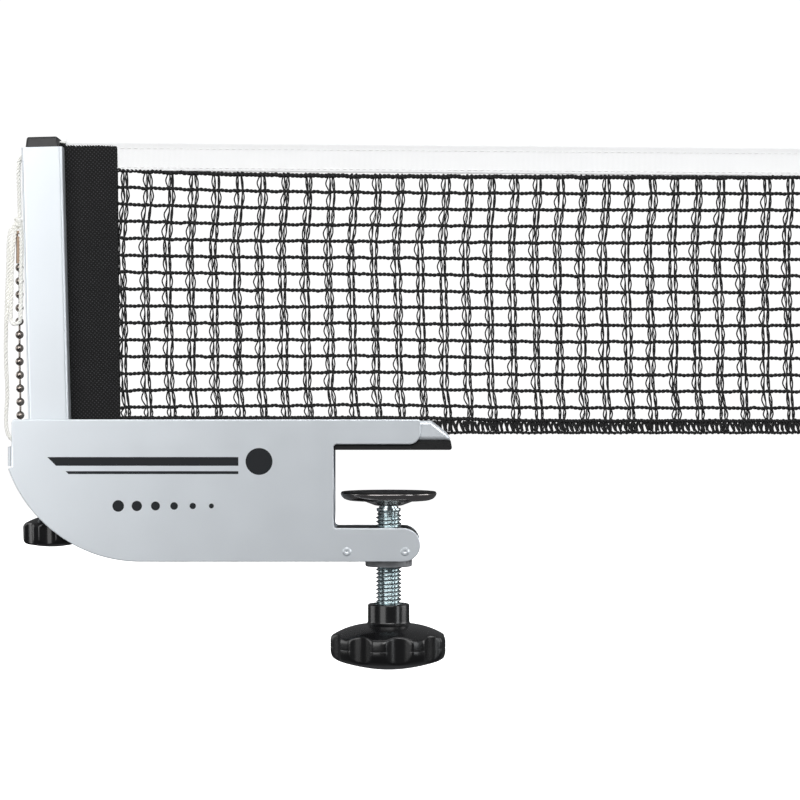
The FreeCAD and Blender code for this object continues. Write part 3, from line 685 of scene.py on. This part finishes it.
def ball_chain():
    """Hollow balls with the small rims that the links come through, and the links between them."""
    balls = Pile()
    links = Pile()
    tilt = np.radians(np.linspace(-RIM_ANGLE, RIM_ANGLE, 25))
    pole = BEAD_R * math.sin(math.radians(RIM_ANGLE))
    pin_end = np.array([0, 0, 1.7])
    for i in range(BEAD_COUNT):
        x, _, z = bead_centre(i)
        profile = [(0.05, z - pole + 0.3), (RIM_R, z - pole + 0.12)]
        profile += [(BEAD_R * math.cos(a), z + BEAD_R * math.sin(a)) for a in tilt]
        profile += [(RIM_R, z + pole - 0.12), (0.05, z + pole - 0.3)]
        lathe(balls, profile, x, 32)
        if i:
            tube(links, np.linspace(bead_centre(i - 1) + pin_end, bead_centre(i) - pin_end, 5), PIN_R, 12)
    balls.piece("chain_balls", chain_metal, "ball_chain", "tension_chain", ["chain_beads"])
    links.piece("chain_pins", chain_metal, "ball_chain", "tension_chain", ["chain_links"])


ball_chain()


# ---------------------------------------------------------------- screw, disc and knobs
def scoops(count, first, rim, depth, scoop_r, blend):
    """A reshape for lathe: scoops cut in the rim, with a soft edge where each begins. first is in degrees."""
    centre = rim - depth + scoop_r

    def reshape(radius, angle):
        away = (angle - math.radians(first) + math.pi / count) % (2 * math.pi / count) - math.pi / count
        inside = np.maximum(scoop_r**2 - (centre * np.sin(away)) ** 2, 0)
        beyond = rim + 9
        wall = np.where(inside > 0, centre * np.cos(away) - np.sqrt(inside), beyond)
        share = np.clip(0.5 + (wall - radius) / (2 * blend), 0, 1)
        return wall * (1 - share) + radius * share - blend * share * (1 - share)

    return reshape


def clamp_knob():
    """Big knob: a hub, a domed top, a rim of scoops with the mould's parting line, and a domed underside."""
    rim, parting = CLAMP_KNOB_R, -96.5
    neck, shoulder, foot = (11.2, -85.6), (26.4, -90.2), (25, -103.2)
    profile = [(7.2, CLAMP_KNOB_TOP), (9.7, CLAMP_KNOB_TOP)]
    profile += [(CLAMP_HUB_R, CLAMP_KNOB_TOP - 0.5), (CLAMP_HUB_R, neck[1] + 1), neck]
    profile += swell(neck, shoulder, 0.9) + [(rim - 0.5, -91.2), (rim, -92.6)]
    profile += [(rim, parting + 0.2), (rim - 0.2, parting), (rim, parting - 0.2)]
    profile += [(rim, -99), (rim - 0.9, -101.6), foot] + swell(foot, (AXIS_R, CLAMP_KNOB_BOTTOM), 0.9)
    cut = scoops(9, first=-79.2, rim=rim, depth=2.9, scoop_r=10, blend=1.1)
    pile = Pile()
    lathe(pile, eased(profile, 1.0)[::-1], SCREW_X, 360, cut)
    pile.piece("clamp_knob_body", gloss_black, "knob_plastic", "clamp_screw", ["clamp_knob"])


def height_knob():
    """Small knob under the bracket, which leans with the post."""
    rim = HEIGHT_KNOB_R
    neck, shoulder, foot = (5.4, -32.6), (13.8, -35.6), (13.8, -45.8)
    profile = [(2.6, HEIGHT_KNOB_TOP), (5, HEIGHT_KNOB_TOP), neck] + swell(neck, shoulder, 0.35)
    profile += [(rim, -36.8), (rim, -44.4), foot] + swell(foot, (AXIS_R, HEIGHT_KNOB_BOTTOM), 0.4)
    cut = scoops(8, first=-94, rim=rim, depth=1.7, scoop_r=7, blend=0.7)
    pile = Pile()
    lathe(pile, eased(profile, 0.8)[::-1], POST_X, 288, cut)
    pile.vertices = [lean(v) for v in pile.vertices]
    pile.piece("height_knob_body", gloss_black, "knob_plastic", "height_knob", ["height_knob"])


def disc():
    """A pressed dish that rises from its hub to a rolled rim, and the rubber face that fills it."""
    under = [(4.6, -27.6), (6.4, -27.6), (9, -26.6), (12, -25.5), (19.6, -25.0), (21.9, -24.2), (23.2, -22.8)]
    rim = [(DISC_R, -21.3), (DISC_R - 1.1, -21.3)]
    upper = [(22.1, -22.4), (21.2, -23.3), (19.4, -23.9), (11.8, -24.4), (8.6, -25.5), (6.2, -26.4)]
    seam = (4.6, -26.4)
    dish = [seam] + under + rim + upper + [seam]
    pile = Pile()
    lathe(pile, eased(dish, 0.8), SCREW_X, 256)
    pile.piece("pressure_dish_shell", chrome, "dish_chrome", "pressure_disc", ["pressure_dish"])
    lip_r = DISC_R - 0.3
    pad = [(AXIS_R, -23.5), (18, -23.5), (20.6, -23.1), (21.6, -22.6), (22.3, -21.25), (lip_r, -21.25)]
    pad += [(lip_r, DISC_FACE - 0.3), (lip_r - 0.5, DISC_FACE), (AXIS_R, DISC_FACE)]
    pile = Pile()
    lathe(pile, eased(pad, 0.25), SCREW_X, 256)
    pile.piece("pressure_pad_face", rubber, "jaw_rubber", "pressure_disc", ["pressure_pad"])


def screw():
    """Half-inch screw: thirteen threads to the inch, a neck, and a riveted stub through the disc."""
    root_r = SCREW_R - 1.23
    thread_top = SCREW_SHOULDER - 1.6
    steps = 72
    # share of the thread's depth at even steps over one pitch: up a flank, over the crest and down again
    flank = np.array([0, 0.15, 0.36, 0.57, 0.79, 1, 1, 0.79, 0.57, 0.36, 0.15, 0])
    cuts = len(flank)
    rows = np.arange(int((thread_top - SCREW_BOTTOM) / SCREW_PITCH + 2) * cuts)
    angle = np.arange(steps + 1) * 2 * math.pi / steps
    turns = rows[:, None] / cuts + angle[None, :] / (2 * math.pi)
    z = SCREW_BOTTOM + (turns - 1) * SCREW_PITCH
    run_out = np.clip((thread_top - z) / (1.2 * SCREW_PITCH), 0, 1)
    radius = root_r + (SCREW_R - root_r) * flank[rows % cuts][:, None] * run_out
    z = np.clip(z, SCREW_BOTTOM, thread_top)
    pile = Pile()
    spiral = np.stack([SCREW_X + radius * np.cos(angle), radius * np.sin(angle), z], -1)
    pile.add(spiral, grid_faces(len(rows), steps + 1))
    neck_r = 5.9
    neck = [(AXIS_R, thread_top - 0.05), (neck_r - 0.3, thread_top - 0.05), (neck_r, SCREW_SHOULDER - 1.1)]
    neck += [(neck_r, SCREW_SHOULDER - 0.1), (neck_r - 0.1, SCREW_SHOULDER), (STUB_R, SCREW_SHOULDER)]
    stub = [(STUB_R, STUB_TOP - 1.1), (5.4, STUB_TOP - 0.9), (5.2, STUB_TOP - 0.2), (4.6, STUB_TOP)]
    stub += [(AXIS_R, STUB_TOP)]
    lathe(pile, eased(neck + stub, 0.2), SCREW_X, 96)
    lathe(pile, [(AXIS_R, SCREW_BOTTOM), (root_r, SCREW_BOTTOM)], SCREW_X, steps)
    pile.piece("clamp_screw_thread", zinc, "zinc_steel", "clamp_screw", ["clamp_screw"])


clamp_knob()
height_knob()
disc()
screw()


# ---------------------------------------------------------------- post socket
def socket_block():
    """Block that holds the post between the cheeks, with its outer lower corner cut off like the cheeks'."""
    low, high = (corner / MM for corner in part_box("post_socket"))
    left, cut_x, cut_height = low.x + 0.6, -141.5, 10
    outline = [(left, high.z), (high.x, high.z), (high.x, low.z), (cut_x, low.z), (left, low.z + cut_height)]
    pile = Pile()
    prism(pile, outline, low.y, high.y)
    piece = pile.piece(
        "post_socket_block", socket_plastic, "socket_plastic", "bracket", ["post_socket"], smooth=False
    )
    edge = piece.modifiers.new("edge", "BEVEL")
    edge.width = 0.5 * MM
    edge.segments = 2


socket_block()


# ---------------------------------------------------------------- tape and sleeve
STITCH_PITCH = 3.2
STITCH_LENGTH = 2.3
STITCH_R = 0.2


def tape_top(x):
    """The tape falls a little, away from the post."""
    return TAPE_TOP - TAPE_DROP * (x - SLEEVE_RIGHT) / (NET_RIGHT - SLEEVE_RIGHT)


def tape_ripple(x):
    """How far the tape's lower edge stands out of line."""
    return 0.07 * np.sin(x * 0.21) + 0.05 * np.sin(x * 0.53 + 1)


def thicken(piece, thickness):
    solid = piece.modifiers.new("thickness", "SOLIDIFY")
    solid.thickness = thickness * MM
    solid.offset = 0


def tape_stitches():
    """A seam below the cord and one along the lower edges, on both faces. drop is a seam's depth."""
    stitches = Pile()
    t = np.linspace(0, 1, 6)
    lift = 0.16 + 0.12 * np.sin(math.pi * t)
    radius = STITCH_R * np.sin(math.pi * (0.12 + 0.76 * t))
    for drop, face_y in ((4.25, 0.8), (13.6, 0.66)):
        for x in np.arange(SLEEVE_RIGHT + 1.5, NET_RIGHT - 2, STITCH_PITCH):
            sway = tape_ripple(x) * drop / TAPE_HEIGHT
            z = tape_top(x) - drop + 0.05 * t
            for face in (-1, 1):
                line = np.stack([x + STITCH_LENGTH * t, face * (face_y + lift) + sway, z], 1)
                tube(stitches, line, radius, 6)
    return stitches.piece("head_tape_stitches", stitch_yarn, "tape_fabric", "net")


def head_tape():
    """White tape folded over the cord and sewn below it and along its lower edges."""
    side = [(-0.62, -TAPE_HEIGHT), (-0.74, -14.2), (-0.66, -13.4), (-0.7, -9), (-0.74, -6.2), (-0.78, -4.9)]
    side += [(-0.92, -3.6)]
    fold = [(1.3 * math.sin(a), -1.72 + 1.6 * math.cos(a)) for a in np.radians(np.arange(-115, 116, 14))]
    section_y, section_z = eased(side + fold + [(-y, z) for y, z in side[::-1]], 0.3, 3).T
    xs = np.arange(TAPE_LEFT, NET_RIGHT + 0.1, 1.1)
    xs[-1] = NET_RIGHT
    fall = np.clip(-section_z / TAPE_HEIGHT, 0, 1)
    near_seam = np.sign(section_y) * np.exp(-((section_z + 4.2) ** 2))
    pucker = 0.04 * np.sin(xs * 2 * math.pi / STITCH_PITCH)[:, None] * near_seam
    y = section_y + tape_ripple(xs)[:, None] * fall + pucker
    z = tape_top(xs)[:, None] + section_z + 0.06 * np.sin(xs * 0.9)[:, None] * (fall > 0.97)
    x = np.repeat(xs[:, None], len(section_y), 1)
    pile = Pile()
    pile.add(np.stack([x, y, z], -1), grid_faces(*x.shape))
    piece = pile.piece("head_tape_cloth", tape_material_with_painted_glow, "tape_fabric", "net", ["head_tape"])
    thicken(piece, 0.28)
    sewn = tape_stitches()


def net_sleeve():
    """Black webbing folded round the keder rod; the twill stands up in relief."""
    half, wrap = 1.05, 1.95
    mouth = math.radians(35)
    zs = np.arange(SLEEVE_BOTTOM, 149.6, 0.36)
    groove = post_axis(zs) + 5.9
    start = groove + wrap * math.cos(mouth)
    edge = SLEEVE_RIGHT + 1.5 * (1 - zs / zs[-1])
    flat = np.linspace(0, 1, 58)
    # face is -1 on the front, 0 round the rod and 1 on the back
    folds = [(1 - t, -1) for t in flat] + [(a, 0) for a in np.radians(np.linspace(325, 35, 19))]
    folds += [(t, 1) for t in flat]
    vertices = np.zeros((len(zs), len(folds), 3))
    for j, (at, face) in enumerate(folds):
        if face == 0:
            x = groove + wrap * math.cos(at)
            y = np.full(len(zs), wrap * math.sin(at))
        else:
            x = start + (edge - start) * at
            close = np.clip((x - start) / 2.0, 0, 1)
            tuck = 0.25 * np.clip((x - edge + 1.4) / 1.4, 0, 1) ** 2
            weave = 0.5 + 0.5 * np.sin(2 * math.pi * (x / 1.42 + zs / 1.9))
            cross = 0.5 + 0.5 * np.sin(2 * math.pi * (x / 0.95 - zs / 0.9) + 0.7 * np.sin(zs * 1.3))
            y = wrap * math.sin(mouth) * (1 - close) + half * close
            y = face * (y - tuck - 0.15 + (0.16 * weave + 0.10 * cross) * close)
        across = np.clip((x - groove) / (SLEEVE_RIGHT - groove), 0, 1)
        top = SLEEVE_TOP_LEFT + (SLEEVE_TOP_RIGHT - SLEEVE_TOP_LEFT) * across
        up = (zs - SLEEVE_BOTTOM) / (zs[-1] - SLEEVE_BOTTOM)
        vertices[:, j] = np.stack([x, y, SLEEVE_BOTTOM + up * (top - SLEEVE_BOTTOM)], 1)
    vertices[-1, :, 2] += rng.uniform(-0.25, 0.55, len(folds))
    pile = Pile()
    pile.add(vertices, grid_faces(len(zs), len(folds)))
    piece = pile.piece("net_sleeve_cloth", sleeve_material, "sleeve_fabric", "net", ["net_sleeve"])
    thicken(piece, 0.35)


head_tape()
net_sleeve()


# ---------------------------------------------------------------- net
COLUMNS = 30
COLUMN_PITCH = 11.24
FIRST_COLUMN = -103.4
ROWS = 15
ROW_LEFT = SLEEVE_RIGHT - 0.8
ROW_PITCH = 4.12
TOP_ROW_THICKNESS = 2.35
ROW_THICKNESS = 1.85
SELVAGE_BOTTOM = 8.2
SELVAGE_PITCH = 3.0
SELVAGE_TOP_THICKNESS = 2.0
SELVAGE_BOTTOM_THICKNESS = 1.6
# one chain of a pair: where it stands, and how far its left and its right strand swing out
CHAINS = ((-0.95, 1.35, 0.45), (1.15, 0.45, 0.65))
STRAND_RADII = (0.38, 0.38, 0.24)


def row_height(k, x):
    """Height of the k-th row from the top. The cells are a little taller near the post."""
    top = 133.3 + 3.3 * np.exp(-(x + 100) / 70)
    pitch = 8.08 + 0.21 * np.exp(-(x + 100) / 40) - 0.08 * np.exp(-(((x - 20) / 50) ** 2))
    return top - pitch * k


def selvage_top(x):
    return 13.9 + 1.5 / (1 + np.exp((x - 70) / 12))


def drift(z):
    """How far the columns wander sideways with height."""
    return np.interp(z, [10, 18, 32, 56, 101, 124, 134], [1.2, 1.5, 0, 0, -1.2, 1.0, 0.6])


def twisted(pile, points, thickness, pitch):
    """Two plies twisted together along points."""
    steps = np.linalg.norm(np.diff(points, axis=0), axis=1)
    at = np.concatenate([[0], np.cumsum(steps)])
    first, second = crosswise(points, (0, 1, 0))
    for ply in range(2):
        phase = 2 * math.pi * at / pitch + ply * math.pi
        offset = first * np.cos(phase)[:, None] + second * np.sin(phase)[:, None]
        tube(pile, points + offset * thickness * 0.24, thickness * 0.31, 6)


def net_rows():
    """The level cords: one under the tape, one at each row, and the selvage's two."""
    pile = Pile()
    xs = np.arange(ROW_LEFT, NET_RIGHT + 0.01, 0.5)
    knots = np.arange(SLEEVE_RIGHT - 1, NET_RIGHT + 3, 2.3)
    for k in range(ROWS):
        uneven = np.interp(xs, knots, rng.uniform(-0.22, 0.22, len(knots)))
        z = row_height(k, xs) + uneven + 0.12 * np.sin(xs * 0.56 + k * 1.3) + 0.08 * np.sin(xs * 1.9 + k)
        if k == 0:
            z = z - 0.1
        y = 0.10 * np.sin(xs * 0.37 + k * 2.1)
        twisted(pile, np.stack([xs, y, z], 1), ROW_THICKNESS if k else TOP_ROW_THICKNESS, ROW_PITCH)
    xs = np.arange(ROW_LEFT, NET_RIGHT + 0.01, 0.45)
    for height, thickness in (
        (selvage_top(xs), SELVAGE_TOP_THICKNESS), (SELVAGE_BOTTOM, SELVAGE_BOTTOM_THICKNESS)
    ):
        z = height + 0.18 * np.sin(xs * 2 * math.pi / SELVAGE_PITCH) + 0.12 * np.sin(xs * 0.31)
        twisted(pile, np.stack([xs, 0.1 * np.sin(xs * 0.7), z], 1), thickness, SELVAGE_PITCH)
    pile.piece("net_rows", net_yarn, "net_fabric", "net", ["net_mesh"])


def knitted_chain(pile, x, heights, out_left, out_right):
    """Two strands that cross at each height, with a finer one between them."""
    wander = rng.uniform(-0.4, 0.4, len(heights))
    loops = rng.uniform(0.3, 1.5, (len(heights), 2))
    t = np.linspace(0, 1, 11, endpoint=False)
    strands = ([], [], [])
    for c, (high, low) in enumerate(zip(heights, heights[1:])):
        z = high + (low - high) * t
        middle = x + drift(z) + wander[c] * (1 - t) + wander[c + 1] * t
        bulge = (0.6 * np.sin(math.pi * t) + 0.4 * (1 - np.abs(2 * t - 1))) * min(1, (high - low) / 5)
        flip = 1 if c % 2 else -1
        y = 0.35 * np.cos(math.pi * t) * flip
        left = middle - bulge * out_left * loops[c, 0] - 0.1
        right = middle + bulge * out_right * loops[c, 1] + 0.1
        inner = middle + 0.25 * np.sin(2 * math.pi * t) * flip
        strands[0].append(np.stack([left, y, z], 1))
        strands[1].append(np.stack([right, -y, z], 1))
        strands[2].append(np.stack([inner, 0.3 * np.sin(math.pi * t), z], 1))
    for strand, radius in zip(strands, STRAND_RADII):
        tube(pile, np.concatenate(strand), radius, 6)


def net_columns(first, last, name):
    """The net's uprights, each a pair of knitted chains that run from the tape to the selvage."""
    pile = Pile()
    for i in range(first, last):
        column_x = FIRST_COLUMN + COLUMN_PITCH * i
        rows = [float(row_height(k, column_x)) for k in range(ROWS)]
        under_tape = max(float(tape_top(column_x)) - TAPE_HEIGHT - 0.6, rows[0] + 1.2)
        heights = [under_tape] + rows + [float(selvage_top(column_x)), SELVAGE_BOTTOM]
        for dx, out_left, out_right in CHAINS:
            knitted_chain(pile, column_x + dx, heights, out_left, out_right)
    pile.piece(name, net_yarn, "net_fabric", "net")


def net_selvage():
    """Dense slanted loops between the two lowest cords, of one thread and a second that mirrors it."""
    xs = [SLEEVE_RIGHT - 0.5]
    while xs[-1] < NET_RIGHT - 1.5:
        xs.append(xs[-1] + float(rng.uniform(0.8, 1.7)))
    points = []
    for n, x in enumerate(xs):
        up = n % 2 == 0
        z = float(selvage_top(x)) if up else SELVAGE_BOTTOM + 0.1
        points.append((x if up else x + 0.9, 0.3 if up else -0.3, z + float(rng.uniform(-0.3, 0.3))))
        points.append((x + (1.0 if up else -0.1), -0.3 if up else 0.3, 10.9 + float(rng.uniform(-0.8, 0.8))))
    points = [(min(x, NET_RIGHT - 0.3), y, z) for x, y, z in points]
    mirrored = [(x + 0.7 if x < NET_RIGHT - 1.2 else x, -y, z) for x, y, z in points]
    pile = Pile()
    for route, radius in ((points, 0.44), (mirrored, 0.36)):
        line, _ = smooth_route(route, 0.4)
        tube(pile, line, radius, 6)
    pile.piece("net_selvage", net_yarn, "net_fabric", "net")


net_rows()
net_columns(0, COLUMNS // 2, "net_columns_near")
net_columns(COLUMNS // 2, COLUMNS, "net_columns_far")
net_selvage()


# ---------------------------------------------------------------- printed mark
INK_GAP = 0.01
INK_THICKNESS = 0.02
BALL_X = -36
BALL_Z = -5.5
BALL_R = 6.5
# lower edge, upper edge, left end and right end
STRIPES = ((-7.6, -3.4, -134, -46), (-11.6, -10.2, -128, -46))
DOTS = 6
DOT_X = -104
DOT_Z = -27


def disc_outline(x, z, radius):
    angle = np.linspace(0, 2 * math.pi, 48, endpoint=False)
    return np.stack([x + radius * np.cos(angle), z + radius * np.sin(angle)], 1)


def printed_mark():
    """A plain ball on a pair of stripes, and a row of dots below, on both cheeks."""
    shapes = [disc_outline(BALL_X, BALL_Z, BALL_R)]
    for low, high, left, right in STRIPES:
        shapes.append([(left, low), (right, low), (right, high), (left - high + low, high)])
    for n in range(DOTS):
        shapes.append(disc_outline(DOT_X + 9 * n, DOT_Z, 2.8 - 0.32 * n))
    pile = Pile()
    for face in (-1, 1):
        y = face * (CHEEK_Y + INK_GAP)
        for shape in shapes:
            prism(pile, shape, y, y + face * INK_THICKNESS)
    pile.piece("printed_mark", decal_ink, "powder_coat", "bracket", smooth=False)


printed_mark()
